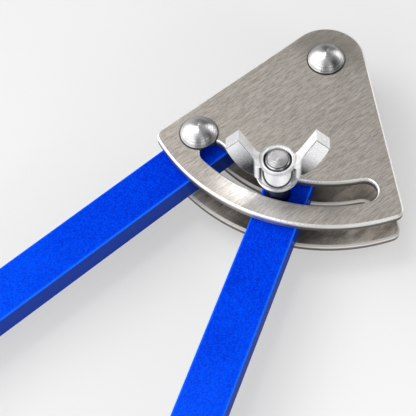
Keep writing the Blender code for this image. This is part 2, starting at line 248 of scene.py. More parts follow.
# %% [markdown]
# ## Room and lamps
#
# Metal is only as good as what it mirrors, so the room matters more than the lamps. The flat
# plates mirror one small part of it, high up behind the tool, and the round rivet heads mirror
# nearly all of it. So the room is a plain grey with soft patches. Two bright ones on the left
# are the window with its wide highlight. A dimmer one lies overhead, where the plates look.
# Dark ones behind, at the right and in front give contrast on the domes, and bright ones low
# at the back right and in front give the second highlight and the shining rims. A patch is a
# cone round a direction, made from a dot product, which needs no picture of a room.

# %% Room
world = bpy.data.worlds.new("studio")
bpy.context.scene.world = world
world.use_nodes = True
room = world.node_tree
room.nodes.clear()
direction = add(room, "ShaderNodeTexCoord").outputs["Generated"]


def room_patch(towards, inner_degrees, outer_degrees):
    """A soft round patch of the room: 1 inside, 0 outside."""
    nearness = vector_node(room, "DOT_PRODUCT", direction, Vector(towards).normalized())
    return rising(room, nearness, math.cos(math.radians(outer_degrees)),
                  math.cos(math.radians(inner_degrees)))


room_colour = (0.46, 0.46, 0.465)
# Direction, inner and outer half angle in degrees, colour.
room_patches = [
    ((-0.90, -0.02, 0.42), 14, 38, (2.20, 2.20, 2.20)),
    ((-0.66, 0.03, 0.75), 8, 27, (3.30, 3.30, 3.30)),
    ((-0.17, 0.22, 0.96), 14, 44, (0.34, 0.335, 0.33)),
    ((-0.12, 0.80, 0.58), 10, 26, (0.10, 0.10, 0.10)),
    ((-0.10, 0.97, 0.22), 16, 34, (0.01, 0.01, 0.012)),
    ((0.88, -0.22, 0.42), 26, 48, (0.02, 0.02, 0.022)),
    ((0.55, 0.80, 0.22), 10, 22, (2.00, 2.00, 2.00)),
    ((-0.45, -0.80, 0.35), 16, 34, (1.70, 1.70, 1.70)),
    ((0.62, -0.62, 0.46), 8, 22, (0.90, 0.90, 0.90)),
    ((0.28, -0.84, 0.44), 8, 22, (0.08, 0.08, 0.085)),
]
for towards, inner, outer, colour in room_patches:
    room_colour = blend(room, room_patch(towards, inner, outer), room_colour, colour)
background = add(room, "ShaderNodeBackground", Strength=1.0)
room.links.new(room_colour, background.inputs["Color"])
room_output = add(room, "ShaderNodeOutputWorld")
room.links.new(background.outputs[0], room_output.inputs[0])
print("room with", len(room_patches), "patches")

# %% [markdown]
# Soft boxes give the shadows a direction. The large one on the left strengthens the window, and
# a small one high up behind makes the plates shine evenly. Two more fill the shadows from the
# front and the right. As squares on the domes those two would look wrong, so no metal mirrors
# them.

# %% Soft boxes
def aimed(name, lamp, place, aim):
    """Hang a lamp up and turn it towards its aim."""
    holder = bpy.data.objects.new(name, lamp)
    holder.location = place
    holder.rotation_euler = (Vector(aim) - Vector(place)).to_track_quat("-Z", "Y").to_euler()
    bpy.context.scene.collection.objects.link(holder)
    return holder


table_middle = (0.0, -0.10, 0.0)
# Name, place, width, height, power in watts, and whether metal mirrors it.
soft_boxes = [
    ("left_box", (-0.78, -0.06, 0.90), 0.75, 0.75, 3.1, True),
    ("plate_box", (-0.28, 0.14, 1.13), 0.25, 0.25, 2.1, True),
    ("front_box", (0.20, -1.45, 0.50), 2.2, 0.8, 12.0, False),
    ("right_box", (1.00, -0.35, 0.35), 0.5, 0.4, 3.8, False),
]
for name, place, width, height, power, mirrored in soft_boxes:
    lamp = bpy.data.lights.new(name, "AREA")
    lamp.shape = "RECTANGLE"
    lamp.size, lamp.size_y = width, height
    lamp.energy = power
    aimed(name, lamp, place, table_middle).visible_glossy = mirrored
print(len(soft_boxes), "soft boxes")

# %% [markdown]
# The photograph has a bright streak on the band in front of the nut, which ends in a slanted
# edge where the nut's shadow begins. A studio makes such a streak with a snoot, a lamp in a
# tube that throws a small spot. It stands where the flat plate mirrors it into the camera.

# %% Snoot
band_spot = Vector((-0.0090, -0.0588, front_high.z))
towards_snoot = Vector((-0.20, 0.45, 0.87))
snoot_distance = 0.6
snoot = bpy.data.lights.new("band_snoot", "SPOT")
snoot.spot_size = math.radians(1.9)
snoot.spot_blend = 1.0
snoot.shadow_soft_size = 0.01
snoot.energy = 2.6
aimed("band_snoot", snoot, band_spot + towards_snoot * snoot_distance, band_spot)
print("one snoot on the band")

# %% [markdown]
# ## Shared surface effects
#
# Every metal here was ground, turned or polished, and handled since. Three effects are used
# by several materials, so each is a node group, built once and given its own values in each
# material: brush lines run one way, lathe rings run round an axis, and handling leaves
# smudges. Painting them by hand would give the same look on one piece, but a group fits
# every piece at its real scale.

# %% Group helper
def new_group(name, inputs, outputs):
    """A shader group with named inputs and number outputs, and its two end nodes."""
    group = bpy.data.node_groups.new(name, "ShaderNodeTree")
    for title, kind, value in inputs:
        entry = group.interface.new_socket(title, in_out="INPUT", socket_type=kind)
        if value is not None:
            entry.default_value = value
    for title in outputs:
        group.interface.new_socket(title, in_out="OUTPUT", socket_type="NodeSocketFloat")
    return group, add(group, "NodeGroupInput"), add(group, "NodeGroupOutput")


number, vector = "NodeSocketFloat", "NodeSocketVector"
print("group helper ready")

# %% [markdown]
# Brush lines are noise stretched along one direction: fine lines and a coarser cloud of them.
# The place is turned first, so that the lines can run at any angle over a sheet.

# %% Group: brush lines
brush_lines, given, result = new_group(
    "brush lines",
    [("Place", vector, None), ("Turn", number, 0.0), ("Length", number, 0.002),
     ("Width", number, 0.0002)],
    ["Lines", "Cloud"])
turn = add(brush_lines, "ShaderNodeVectorRotate", {"rotation_type": "Z_AXIS"})
brush_lines.links.new(given.outputs["Place"], turn.inputs["Vector"])
brush_lines.links.new(given.outputs["Turn"], turn.inputs["Angle"])
across = math_node(brush_lines, "DIVIDE", 1.0, given.outputs["Width"])
lengthwise = math_node(brush_lines, "DIVIDE", 1.0, given.outputs["Length"])
for output_name, spread, detail in (("Lines", 1.0, 3.0), ("Cloud", 0.16, 2.0)):
    scale = add(brush_lines, "ShaderNodeCombineXYZ")
    for axis, value in (("X", across), ("Y", lengthwise), ("Z", across)):
        brush_lines.links.new(math_node(brush_lines, "MULTIPLY", value, spread),
                              scale.inputs[axis])
    noise = add(brush_lines, "ShaderNodeTexNoise", Scale=1.0, Detail=detail, Roughness=0.6)
    brush_lines.links.new(
        vector_node(brush_lines, "MULTIPLY", turn.outputs[0], scale.outputs[0]),
        noise.inputs["Vector"])
    brush_lines.links.new(noise.outputs[0], result.inputs[output_name])
print("brush lines group ready")

# %% [markdown]
# Lathe rings depend only on the distance from an axis, so their noise needs a single
# dimension. A wave texture would be simpler, but its rings are too regular for a cutting tool.

# %% Group: lathe rings
lathe_rings, given, result = new_group(
    "lathe rings", [("Place", vector, None), ("Axis", vector, None), ("Pitch", number, 0.0003)],
    ["Rings"])
without_height = (1.0, 1.0, 0.0)
offset = vector_node(lathe_rings, "SUBTRACT", given.outputs["Place"], given.outputs["Axis"])
offset = vector_node(lathe_rings, "MULTIPLY", offset, without_height)
radius = vector_node(lathe_rings, "LENGTH", offset)
steps = math_node(lathe_rings, "DIVIDE", radius, given.outputs["Pitch"])
noise = add(lathe_rings, "ShaderNodeTexNoise", {"noise_dimensions": "1D"}, Scale=1.0, Detail=2.0)
lathe_rings.links.new(steps, noise.inputs["W"])
lathe_rings.links.new(noise.outputs[0], result.inputs["Rings"])
print("lathe rings group ready")

# %% [markdown]
# Handling leaves soft smudges, cloudy noise whose size is given in metres.

# %% Group: handling
handling, given, result = new_group(
    "handling", [("Place", vector, None), ("Smudge size", number, 0.012)], ["Smudge"])
size = math_node(handling, "DIVIDE", 1.0, given.outputs["Smudge size"])
smudge = add(handling, "ShaderNodeTexNoise", Detail=4.0, Roughness=0.6)
handling.links.new(given.outputs["Place"], smudge.inputs["Vector"])
handling.links.new(size, smudge.inputs["Scale"])
handling.links.new(smudge.outputs[0], result.inputs["Smudge"])
print("handling group ready")

# %% [markdown]
# ## Helpers for materials
#
# Every material starts alike, with a colour, a metal share and a roughness. Groups, a relief
# and more colours are then laid over it.

# %% Material helpers
def new_material(name, colour, metallic, roughness):
    """A material, its tree, its shader and the place on the piece in metres."""
    material = bpy.data.materials.new(name)
    material.use_nodes = True
    tree = material.node_tree
    shader = tree.nodes["Principled BSDF"]
    shader.inputs["Base Color"].default_value = (*colour, 1.0)
    shader.inputs["Metallic"].default_value = metallic
    shader.inputs["Roughness"].default_value = roughness
    place = add(tree, "ShaderNodeTexCoord").outputs["Object"]
    return material, tree, shader, place


def use_group(tree, group, place, **values):
    """Put a group into a material with its own values, and give its outputs."""
    node = add(tree, "ShaderNodeGroup", {"node_tree": group})
    for name, value in values.items():
        node.inputs[name.replace("_", " ")].default_value = value
    tree.links.new(place, node.inputs["Place"])
    return node.outputs


def raise_surface(tree, shader, height, distance):
    """Let a varying height tilt the surface by up to a distance in metres."""
    bump = add(tree, "ShaderNodeBump", Distance=distance, Strength=1.0)
    tree.links.new(height, bump.inputs["Height"])
    tree.links.new(bump.outputs[0], shader.inputs["Normal"])


def weighted_sum(tree, *parts):
    """Add up varying values, each with its own share."""
    total = None
    for value, share in parts:
        portion = math_node(tree, "MULTIPLY", value, share)
        total = portion if total is None else math_node(tree, "ADD", total, portion)
    return total


def all_of(tree, *masks):
    """1 where every mask is 1."""
    together = masks[0]
    for mask in masks[1:]:
        together = math_node(tree, "MULTIPLY", together, mask)
    return together


def tint(tree, shader, colour, *masks):
    """Lay a colour over what already feeds the base colour, where every mask is 1."""
    base = shader.inputs["Base Color"]
    tree.links.new(blend(tree, all_of(tree, *masks), base.links[0].from_socket, colour), base)


def dress(material, *nodes):
    """Give solids of the frame a material in place of the plain one they came with."""
    for node in nodes:
        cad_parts[node].data.materials.clear()
        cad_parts[node].data.materials.append(material)


print("material helpers ready")

# %% [markdown]
# Most materials need a few masks. A mask comes from the place on the piece in metres or from
# the way the surface faces, so it stays where it belongs when the piece moves. Pieces of the
# frame keep their places in metres from the pivot, whatever their own middle is.

# %% Mask helpers
def band(tree, value, low, full_low, full_high, high):
    """1 in the middle of a range, with a soft step at each end."""
    return all_of(tree, rising(tree, value, low, full_low), falling(tree, value, full_high, high))


def flatness(tree):
    """1 where the surface faces straight up or down, 0 on an upright wall."""
    facing = tree.nodes["Texture Coordinate"].outputs["Normal"]
    return math_node(tree, "ABSOLUTE", part_of(tree, facing, "Z"))


def from_axis(tree, place, centre):
    """Distance from an upright axis, height above a centre, and the spoke from it."""
    spoke = vector_node(tree, "SUBTRACT", place, centre)
    level = vector_node(tree, "MULTIPLY", spoke, without_height)
    return vector_node(tree, "LENGTH", level), part_of(tree, spoke, "Z"), spoke


def along(tree, spoke, direction):
    """How far a spoke reaches in a direction."""
    return vector_node(tree, "DOT_PRODUCT", spoke, (*direction, 0.0))


print("mask helpers ready")

# %% [markdown]
# ## Brushed stainless plates
#
# The plates are laser-cut stainless sheet with a belt-ground face and a tumbled rim. Short
# lines run along the left edge, a warm grey between light and dark. The lines change colour,
# roughness and height together, because a groove is darker, duller and lower at once. The rim
# is found from the surface's direction: where it is slanted it was polished by the tumbling
# stones. So was the upper part of each upright wall. Below it the wall is dark: the dull
# brown of the laser cut, and painted shade low on the wall.

# %% Plate material
plate_dark = (0.320, 0.291, 0.261)
plate_light = (0.554, 0.515, 0.472)
rim_bright = (0.98, 0.965, 0.94)
cut_brown_and_shade = (0.15, 0.135, 0.12)
plate_contrast = (0.42, 0.58)
plate_dull = (0.52, 0.40)
rim_gloss = 0.16
rim_slant = (0.15, 0.50, 0.78, 0.97)
wall_slant = (0.04, 0.12)
cut_height = (-0.0018, -0.0011)


def paint_walls(tree, shader, place, slant, top, polished):
    """Polish the upper part of a sheet's upright walls; below it paint the cut's brown and shade.
    """
    upright = falling(tree, slant, *wall_slant)
    away, height, spoke = from_axis(tree, place, (0.0, 0.0, top))
    tint(tree, shader, polished, upright)
    # Painted shade and the cut's brown on the lower part of each wall.
    tint(tree, shader, cut_brown_and_shade, upright, falling(tree, height, *cut_height))


ground_stainless, tree, shader, place = new_material("ground_stainless", plate_light, 0.75, 0.4)
brush = use_group(tree, brush_lines, place, Turn=brush_turn, Length=0.0024, Width=0.00013)
marks = use_group(tree, handling, place, Smudge_size=0.018)
tone = weighted_sum(tree, (brush["Lines"], 0.82), (brush["Cloud"], 0.18))
slant = flatness(tree)
rim = band(tree, slant, *rim_slant)
face_colour = blend(tree, rising(tree, tone, *plate_contrast), plate_dark, plate_light)
tree.links.new(blend(tree, rim, face_colour, rim_bright), shader.inputs["Base Color"])
paint_walls(tree, shader, place, slant, front_high.z, rim_bright)
dullness = weighted_sum(tree, (tone, 1.0), (marks["Smudge"], 0.5))
dullness = remap(tree, dullness, 0.5, 1.0, *plate_dull)
tree.links.new(
    math_node(tree, "SUBTRACT", dullness, math_node(tree, "MULTIPLY", rim, rim_gloss)),
    shader.inputs["Roughness"])
raise_surface(tree, shader, brush["Lines"], 0.00004)
dress(ground_stainless, "front_plate")
print("front plate in ground stainless")

# %% [markdown]
# Painted light shows in three places. A dark ring round each rivet head is painted contact
# shade. The tip of the sheet near the pivot is darkened with painted shade. The band in front
# of the nut is lightened with a painted highlight, strongest on the brighter brush lines.

# %% Painted shade and highlight on the front plate
painted_contact_shade = (0.06, 0.055, 0.05)
painted_tip_shade = (0.20, 0.18, 0.16)
painted_band_highlight = (0.93, 0.905, 0.87)
contact_shade_width = (0.0002, 0.0006)
tip_shade_away = (0.0100, 0.0180)
tip_shade_above = (-0.0020, 0.0040)
highlight_inside = (0.0550, 0.0575)
highlight_outside = (0.0590, 0.0635)
highlight_sideways = (-0.0200, -0.0080, 0.0040, 0.0120)
# Painted contact shade: a dark ring round each rivet head.
for head_axis in (pivot, (rivet_axis.x, rivet_axis.y, 0.0)):
    away, height, spoke = from_axis(tree, place, head_axis)
    off_rim = math_node(tree, "ABSOLUTE", math_node(tree, "SUBTRACT", away, rivet_reach))
    tint(tree, shader, painted_contact_shade, falling(tree, off_rim, *contact_shade_width))
# Painted shade darkens the tip of the sheet near the pivot.
away, height, spoke = from_axis(tree, place, pivot)
tint(tree, shader, painted_tip_shade, remap(tree, away, *tip_shade_away, 0.50, 0.0),
     rising(tree, along(tree, spoke, (0.0, 1.0)), *tip_shade_above))
# Painted highlight on the band in front of the nut.
tint(tree, shader, painted_band_highlight, rising(tree, away, *highlight_inside),
     band(tree, along(tree, spoke, (1.0, 0.0)), *highlight_sideways),
     remap(tree, away, *highlight_outside, 1.0, 0.4), remap(tree, tone, 0.38, 0.56, 0.45, 1.0))
print("front plate worn")

# %% [markdown]
# The rear plate shows its inner face, which nobody grinds. It keeps the dull, cloudy skin of
# the rolling mill, browner than a ground face, and it scatters more of its light. A dark track,
# told by the distance from the pivot and uneven with the skin under it, is painted shade where
# the front plate overhangs it. A dark patch round the bolt is the nut's shadow, painted.

# %% Rear plate material
mill_dark = (0.36, 0.318, 0.275)
mill_light = (0.88, 0.800, 0.715)
mill_painted_shade = (0.085, 0.072, 0.058)
painted_nut_shadow = (0.045, 0.038, 0.030)
mill_rim = (0.50, 0.48, 0.455)
mill_wall = (0.80, 0.77, 0.73)
mill_contrast = (0.40, 0.63)
shade_inside = (0.0450, 0.0500)
shade_outside = (0.0600, 0.0636)
nut_shadow_reach = (0.0130, 0.0250)
mill_stainless, tree, shader, place = new_material("mill_stainless", mill_light, 0.3, 0.5)
brush = use_group(tree, brush_lines, place, Turn=brush_turn, Length=0.0020, Width=0.00030)
marks = use_group(tree, handling, place, Smudge_size=0.007)
tone = weighted_sum(tree, (brush["Lines"], 0.30), (brush["Cloud"], 0.35),
                    (marks["Smudge"], 0.35))
slant = flatness(tree)
rim = band(tree, slant, *rim_slant)
face_colour = blend(tree, rising(tree, tone, *mill_contrast), mill_dark, mill_light)
away, height, spoke = from_axis(tree, place, pivot)
# Painted shade where the front plate overhangs the rear one.
track = all_of(tree, remap(tree, away, *shade_inside, 0.0, 0.80),
               falling(tree, away, *shade_outside), remap(tree, tone, 0.44, 0.62, 1.0, 0.55))
face_colour = blend(tree, track, face_colour, mill_painted_shade)
# Painted shadow of the nut round the bolt.
from_bolt, height, spoke = from_axis(tree, place, (bolt_axis.x, bolt_axis.y, 0.0))
nut_shadowed = remap(tree, from_bolt, *nut_shadow_reach, 0.85, 0.0)
face_colour = blend(tree, nut_shadowed, face_colour, painted_nut_shadow)
tree.links.new(blend(tree, rim, face_colour, mill_rim), shader.inputs["Base Color"])
paint_walls(tree, shader, place, slant, rear_high.z, mill_wall)
tree.links.new(remap(tree, tone, 0.38, 0.62, 0.55, 0.40), shader.inputs["Roughness"])
raise_surface(tree, shader, brush["Lines"], 0.00002)
dress(mill_stainless, "rear_plate")
print("rear plate in mill finish")

# %% [markdown]
# ## Rounder rims and true flats
#
# The solids have a plain chamfer round each plate. Tumbling rounds it, so a bevel of a few
# tenths of a millimetre goes over the sharp edges. Large flat faces that meet a rounded edge
# would shade like a pillow, so the normals are weighted by area, and a flat stays flat.

# %% Round the rims
rim_round = 0.0003
edge_angle = math.radians(30)
for node in ("front_plate", "rear_plate"):
    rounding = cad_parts[node].modifiers.new("tumbled rim", "BEVEL")
    rounding.width = rim_round
    rounding.segments = 2
    rounding.limit_method = "ANGLE"
    rounding.angle_limit = edge_angle
for node in ("front_plate", "rear_plate", "fixed_leg", "swing_leg"):
    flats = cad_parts[node].modifiers.new("true flats", "WEIGHTED_NORMAL")
    flats.mode = "FACE_AREA"
    flats.keep_sharp = False
    flats.weight = 90

# %% [markdown]
# ## Blue powder coat on the bars
#
# Powder coat is paint that melted in an oven: a closed film with a slight orange peel and,
# here, fine mica that sparkles. Flakes are cells of a Voronoi pattern, each with its own
# brightness. The film mirrors very little from above, so its white reflection is kept low and
# the blue stays deep. A paler blue on the rounded edges is a painted highlight, and a darker
# blue on the sides is painted shade, where the film also has a sheen. Near the plates the blue
# is darkened with painted shade, so it grows brighter further out.

# %% Bar material
coat_deep = (0.0004, 0.024, 0.54)
coat_bright = (0.0012, 0.088, 0.96)
coat_painted_highlight = (0.012, 0.16, 1.0)
coat_painted_shade = (0.0020, 0.030, 0.28)
coat_sheen = (0.01, 0.38)
highlight_slant = (0.10, 0.35, 0.90, 0.99)
side_slant = (0.15, 0.30)
flake_size, peel_size, cloud_size = 0.00028, 0.0011, 0.02
# A stretch of the bar in metres from the pivot, and what its two ends add to the tone:
# painted shade near the plates.
painted_shade_near_plates = (0.050, 0.150, -0.47, 0.23)


def noise_of(tree, place, size, detail):
    """Noise whose clouds have a size in metres."""
    noise = add(tree, "ShaderNodeTexNoise", Scale=1 / size, Detail=detail)
    tree.links.new(place, noise.inputs["Vector"])
    return noise.outputs[0]


blue_coat, tree, shader, place = new_material("blue_powder_coat", coat_deep, 0.0, 0.42)
flakes = add(tree, "ShaderNodeTexVoronoi", Scale=1 / flake_size)
tree.links.new(place, flakes.inputs["Vector"])
flake_tone = add(tree, "ShaderNodeSeparateColor")
tree.links.new(flakes.outputs["Color"], flake_tone.inputs[0])
tone = weighted_sum(tree, (flake_tone.outputs[0], 0.6),
                    (noise_of(tree, place, cloud_size, 2.0), 0.4))
away, height, spoke = from_axis(tree, place, pivot)
# Painted shade near the plates, so the blue grows brighter further out.
tone = math_node(tree, "ADD", rising(tree, tone, 0.15, 0.85),
                 remap(tree, away, *painted_shade_near_plates))
slant = flatness(tree)
side = falling(tree, slant, *side_slant)
# Painted highlight: a paler blue on the rounded edges.
film = blend(tree, band(tree, slant, *highlight_slant), blend(tree, tone, coat_deep, coat_bright),
             coat_painted_highlight)
# Painted shade: a darker blue on the upright sides.
film = blend(tree, side, film, coat_painted_shade)
tree.links.new(remap(tree, flake_tone.outputs[1], 0.0, 1.0, 0.34, 0.50),
               shader.inputs["Roughness"])
shader.inputs["Specular IOR Level"].default_value = 0.0
tree.links.new(remap(tree, side, 0.0, 1.0, *coat_sheen), shader.inputs["Coat Weight"])
shader.inputs["Coat Roughness"].default_value = 0.2
raise_surface(tree, shader, noise_of(tree, place, peel_size, 2.0), 0.00004)
dress(blue_coat, "fixed_leg", "swing_leg")
print("bars in blue powder coat")

# %% [markdown]
# Deep blue bars would tint the table and the nut far more than they do in the photograph, so
# the light that they pass on is dimmed: a Light Path node gives the full blue to the camera,
# and to metal so close by that it clearly mirrors the bar.

# %% Light from the bars
coat_bounce = (0.045, 0.055, 0.12)
near_reach = 0.014
path = add(tree, "ShaderNodeLightPath")
near = math_node(tree, "LESS_THAN", path.outputs["Ray Length"], near_reach)
near = math_node(tree, "MULTIPLY", near, path.outputs["Is Glossy Ray"])
full = math_node(tree, "MAXIMUM", near, path.outputs["Is Camera Ray"])
tree.links.new(blend(tree, full, coat_bounce, film), shader.inputs["Base Color"])
print("light from the bars dimmed")

# %% [markdown]
# ## Polished rivets
#
# The rivet heads were formed by a spinning tool, so their polish runs in rings round the
# middle, and such rings stretch every highlight outwards into a fan. The shader's anisotropy
# does that when its tangent runs round the axis and is turned by a quarter.

# %% Rivet material
def turned_metal(name, axis, dark, light, gloss, dull, fan=0.0, metallic=1.0):
    """Bright metal with lathe rings about an upright axis."""
    material, tree, shader, place = new_material(name, light, metallic, gloss)
    rings = use_group(tree, lathe_rings, place, Axis=tuple(axis), Pitch=0.00035)["Rings"]
    marks = use_group(tree, handling, place, Smudge_size=0.006)
    tree.links.new(blend(tree, rising(tree, rings, 0.3, 0.7), dark, light),
                   shader.inputs["Base Color"])
    tone = weighted_sum(tree, (rings, 0.4), (marks["Smudge"], 0.6))
    tree.links.new(remap(tree, tone, 0.3, 0.7, dull, gloss), shader.inputs["Roughness"])
    shader.inputs["Anisotropic"].default_value = fan
    shader.inputs["Anisotropic Rotation"].default_value = 0.25
    tangent = add(tree, "ShaderNodeTangent", {"direction_type": "RADIAL", "axis": "Z"})
    tree.links.new(tangent.outputs[0], shader.inputs["Tangent"])
    raise_surface(tree, shader, rings, 0.00001)
    return material


rivet_dark = (0.60, 0.60, 0.61)
rivet_light = (0.88, 0.88, 0.89)
for node, axis in (("pivot_rivet", pivot), ("corner_rivet", rivet_axis)):
    polish = turned_metal(node + "_polish", axis, rivet_dark, rivet_light, gloss=0.25,
                          dull=0.35, fan=0.87)
    dress(polish, node)
print("rivets polished")

# %% [markdown]
# ## Wing nut
#
# A wing nut is forged or cast and then zinc plated, so none of its inner corners is sharp.
# Its solid was put together from a turned barrel, two pads and two blades with hard seams. A
# voxel remesh melts these into one skin of small even faces, and smoothing rounds the seams,
# which is what plating and tumbling do. Rounding each seam with a bevel would take far
# longer, because the seams are curves where a blade meets a barrel.

# %% Melt the nut's seams
def applied(piece, name):
    """The piece's mesh with its modifiers worked in, as a new mesh."""
    ready = piece.evaluated_get(bpy.context.evaluated_depsgraph_get())
    mesh = bpy.data.meshes.new_from_object(ready)
    mesh.name = name
    return mesh


voxel = 0.00012
nut_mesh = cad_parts["wing_nut"].data.copy()
forged_nut = bpy.data.objects.new("forged_wing_nut", nut_mesh)
bpy.context.scene.collection.objects.link(forged_nut)
melt = forged_nut.modifiers.new("melt", "REMESH")
melt.mode = "VOXEL"
melt.voxel_size = voxel
melt.use_smooth_shade = True
soften = forged_nut.modifiers.new("soften", "SMOOTH")
soften.factor = 0.5
soften.iterations = 4
melted = applied(forged_nut, "forged_wing_nut")
forged_nut.modifiers.clear()
forged_nut.data = melted
print("melted nut has", len(melted.polygons), "faces")

# %% [markdown]
# The ring round the nut's mouth was turned, and a fine groove parts it from the inner lip. The
# forging die also left a shield on the front and back of the barrel, round at its foot, with
# a fine dark outline. The remeshed skin is fine enough to press both grooves in: each vertex
# moves by an amount that depends on its distance from the groove's line. The skin is then
# thinned out, because the flat parts don't need so many faces.

# %% Turn the groove and thin the skin
groove_radius = 0.0051
groove_width = 0.00016
groove_depth = 0.00018
top_height = bolt_high.z
nut_turn = math.radians(20.3)
shield_centre = 0.0062
shield_radius = 0.0056
shield_width = 0.00026
shield_depth = 0.00036
barrel_radius = 0.0054
barrel_limit = 0.0063
across_wings = Vector((math.cos(nut_turn), math.sin(nut_turn)))
along_front = Vector((math.sin(nut_turn), -math.cos(nut_turn)))
for vertex in melted.vertices:
    spoke = Vector((vertex.co.x - bolt_axis.x, vertex.co.y - bolt_axis.y))
    away = spoke.length
    if abs(vertex.co.z - top_height) < groove_depth * 3:
        nearness = math.exp(-((away - groove_radius) / groove_width) ** 2)
        vertex.co.z -= groove_depth * nearness
    above_foot = vertex.co.z - nut_low.z
    if barrel_radius * 0.9 < away < barrel_limit and above_foot < shield_centre:
        round_way = math.atan2(spoke.dot(across_wings), abs(spoke.dot(along_front)))
        round_way *= barrel_radius
        reach = math.hypot(round_way, shield_centre - above_foot)
        nearness = math.exp(-((reach - shield_radius) / shield_width) ** 2)
        inward = shield_depth * nearness / away
        vertex.co.x -= spoke.x * inward
        vertex.co.y -= spoke.y * inward
thin = forged_nut.modifiers.new("thin", "DECIMATE")
thin.ratio = 0.16
thinned = applied(forged_nut, "forged_wing_nut_skin")
forged_nut.modifiers.clear()
forged_nut.data = thinned
thinned.shade_smooth()
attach(forged_nut, "wing_nut")
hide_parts("wing_nut")
print("thinned to", len(thinned.polygons), "faces")

# %% [markdown]
# Bright zinc plate over a tumbled forging is pale and satin, not a mirror: under the microscope
# it scatters more light than it mirrors, so the shader gets a metal share of about a third.
# The wings are brushed across by thumbs and by the tumbling, in fine slanting streaks.

# %% Nut plating
nut_shade = (0.84, 0.84, 0.85)
nut_light = (0.97, 0.97, 0.975)
nut_contrast = (0.36, 0.62)
satin_zinc, tree, shader, place = new_material("satin_zinc", nut_light, 0.36, 0.24)
brush = use_group(tree, brush_lines, place, Turn=math.radians(-32), Length=0.0040,
                  Width=0.00010)
marks = use_group(tree, handling, place, Smudge_size=0.005)
tone = weighted_sum(tree, (brush["Lines"], 0.4), (brush["Cloud"], 0.2), (marks["Smudge"], 0.4))
zinc = blend(tree, rising(tree, tone, *nut_contrast), nut_shade, nut_light)
tree.links.new(zinc, shader.inputs["Base Color"])
tree.links.new(remap(tree, tone, *nut_contrast, 0.32, 0.18), shader.inputs["Roughness"])
raise_surface(tree, shader, brush["Lines"], 0.000005)
thinned.materials.clear()
thinned.materials.append(satin_zinc)
print("nut in satin zinc")

# %% [markdown]
# The wings' flat sides are pale at the top and dark at the root, a painted dark reflection of
# the plates and bars below. The barrel's shade on the right pad is painted as well, and a dark
# seam parts it from the left one. All of these are told by the distance from the axis, the
# reach along the wings and the height above the foot, in metres.

# %% Roots of the wings
nut_painted_root_reflection = (0.03, 0.03, 0.034)
nut_lee = (0.26, 0.26, 0.27)
nut_dark_line_and_shadow = (0.07, 0.07, 0.075)
root_away = (0.0072, 0.0078)
root_fade = (0.0220, 0.0350)
lee_reach = (0.0039, 0.0043, 0.0055, 0.0060)
lee_front = (0.0018, 0.0022)
lee_height = (0.0058, 0.0062)
seam_reach = (-0.0059, -0.0056, -0.0051, -0.0048)
seam_front = (0.0008, 0.0012)
seam_height = (0.0066, 0.0070)
away, height, spoke = from_axis(tree, place, (bolt_axis.x, bolt_axis.y, nut_low.z))
reach = along(tree, spoke, across_wings)
front = along(tree, spoke, along_front)
facing_up = flatness(tree)
upright = falling(tree, facing_up, 0.20, 0.45)
streaked = weighted_sum(tree, (height, 1.0), (away, 1.0), (reach, 0.3),
                        (brush["Lines"], 0.010), (brush["Cloud"], 0.006))
# Painted dark reflection at the roots of the wings.
tint(tree, shader, nut_painted_root_reflection, upright, rising(tree, away, *root_away),
     falling(tree, streaked, *root_fade))
tint(tree, shader, nut_lee, upright, band(tree, reach, *lee_reach),
     rising(tree, front, *lee_front), falling(tree, height, *lee_height))
tint(tree, shader, nut_dark_line_and_shadow, upright, band(tree, reach, *seam_reach),
     rising(tree, front, *seam_front), falling(tree, height, *seam_height))
print("roots of the wings shaded")

# %% [markdown]
# The left wing's outer end is greyed where it faces up, painted shade. The ridges, where the
# surface turns from the flat side to the edge, get a dark line, so they are found from its
# direction.

# %% Shaded wing end and ridges
nut_painted_end_shade = (0.58, 0.58, 0.59)
nut_ridge = (0.30, 0.30, 0.31)
shaded_end_reach = (-0.0110, -0.0095)
shaded_end_facing = (0.45, 0.60)
ridge_away = (0.0078, 0.0084)
ridge_facing = (0.30, 0.45, 0.80, 0.92)
peak_height = (0.0196, 0.0200)
peak_facing = (0.80, 0.90)
facing = tree.nodes["Texture Coordinate"].outputs["Normal"]
facing_front = math_node(tree, "ABSOLUTE", along(tree, facing, along_front))
# Painted shade on the left wing's outer end.
tint(tree, shader, nut_painted_end_shade, falling(tree, reach, *shaded_end_reach),
     rising(tree, facing_up, *shaded_end_facing))
side_ridge = all_of(tree, rising(tree, away, *ridge_away),
                    band(tree, facing_front, *ridge_facing))
peak_ridge = all_of(tree, rising(tree, height, *peak_height),
                    rising(tree, facing_up, *peak_facing))
tint(tree, shader, nut_ridge, math_node(tree, "MAXIMUM", side_ridge, peak_ridge))
print("thumb and ridges shaded")

# %% [markdown]
# The ring has a duller outer band, and the mouth's front side is darkened with painted shade.
# Dirt draws a line along the shield's groove, and a painted shadow darkens a line below the ring.

# %% Ring, mouth and shield
nut_band = (0.58, 0.58, 0.59)
nut_painted_mouth_shade = (0.03, 0.03, 0.032)
ring_away = (0.00505, 0.00515, 0.0058, 0.0060)
ring_height = (0.0066, 0.0070)
mouth_away = (0.00445, 0.00455)
mouth_front = (-0.0036, -0.0020)
outline_width = 0.0004
outline_soft = 0.0005
ring_shadow_height = (0.0058, 0.0061, 0.0063, 0.0065)
ring_shadow_away = (0.0055, 0.0057)
tint(tree, shader, nut_band, band(tree, away, *ring_away), rising(tree, height, *ring_height))
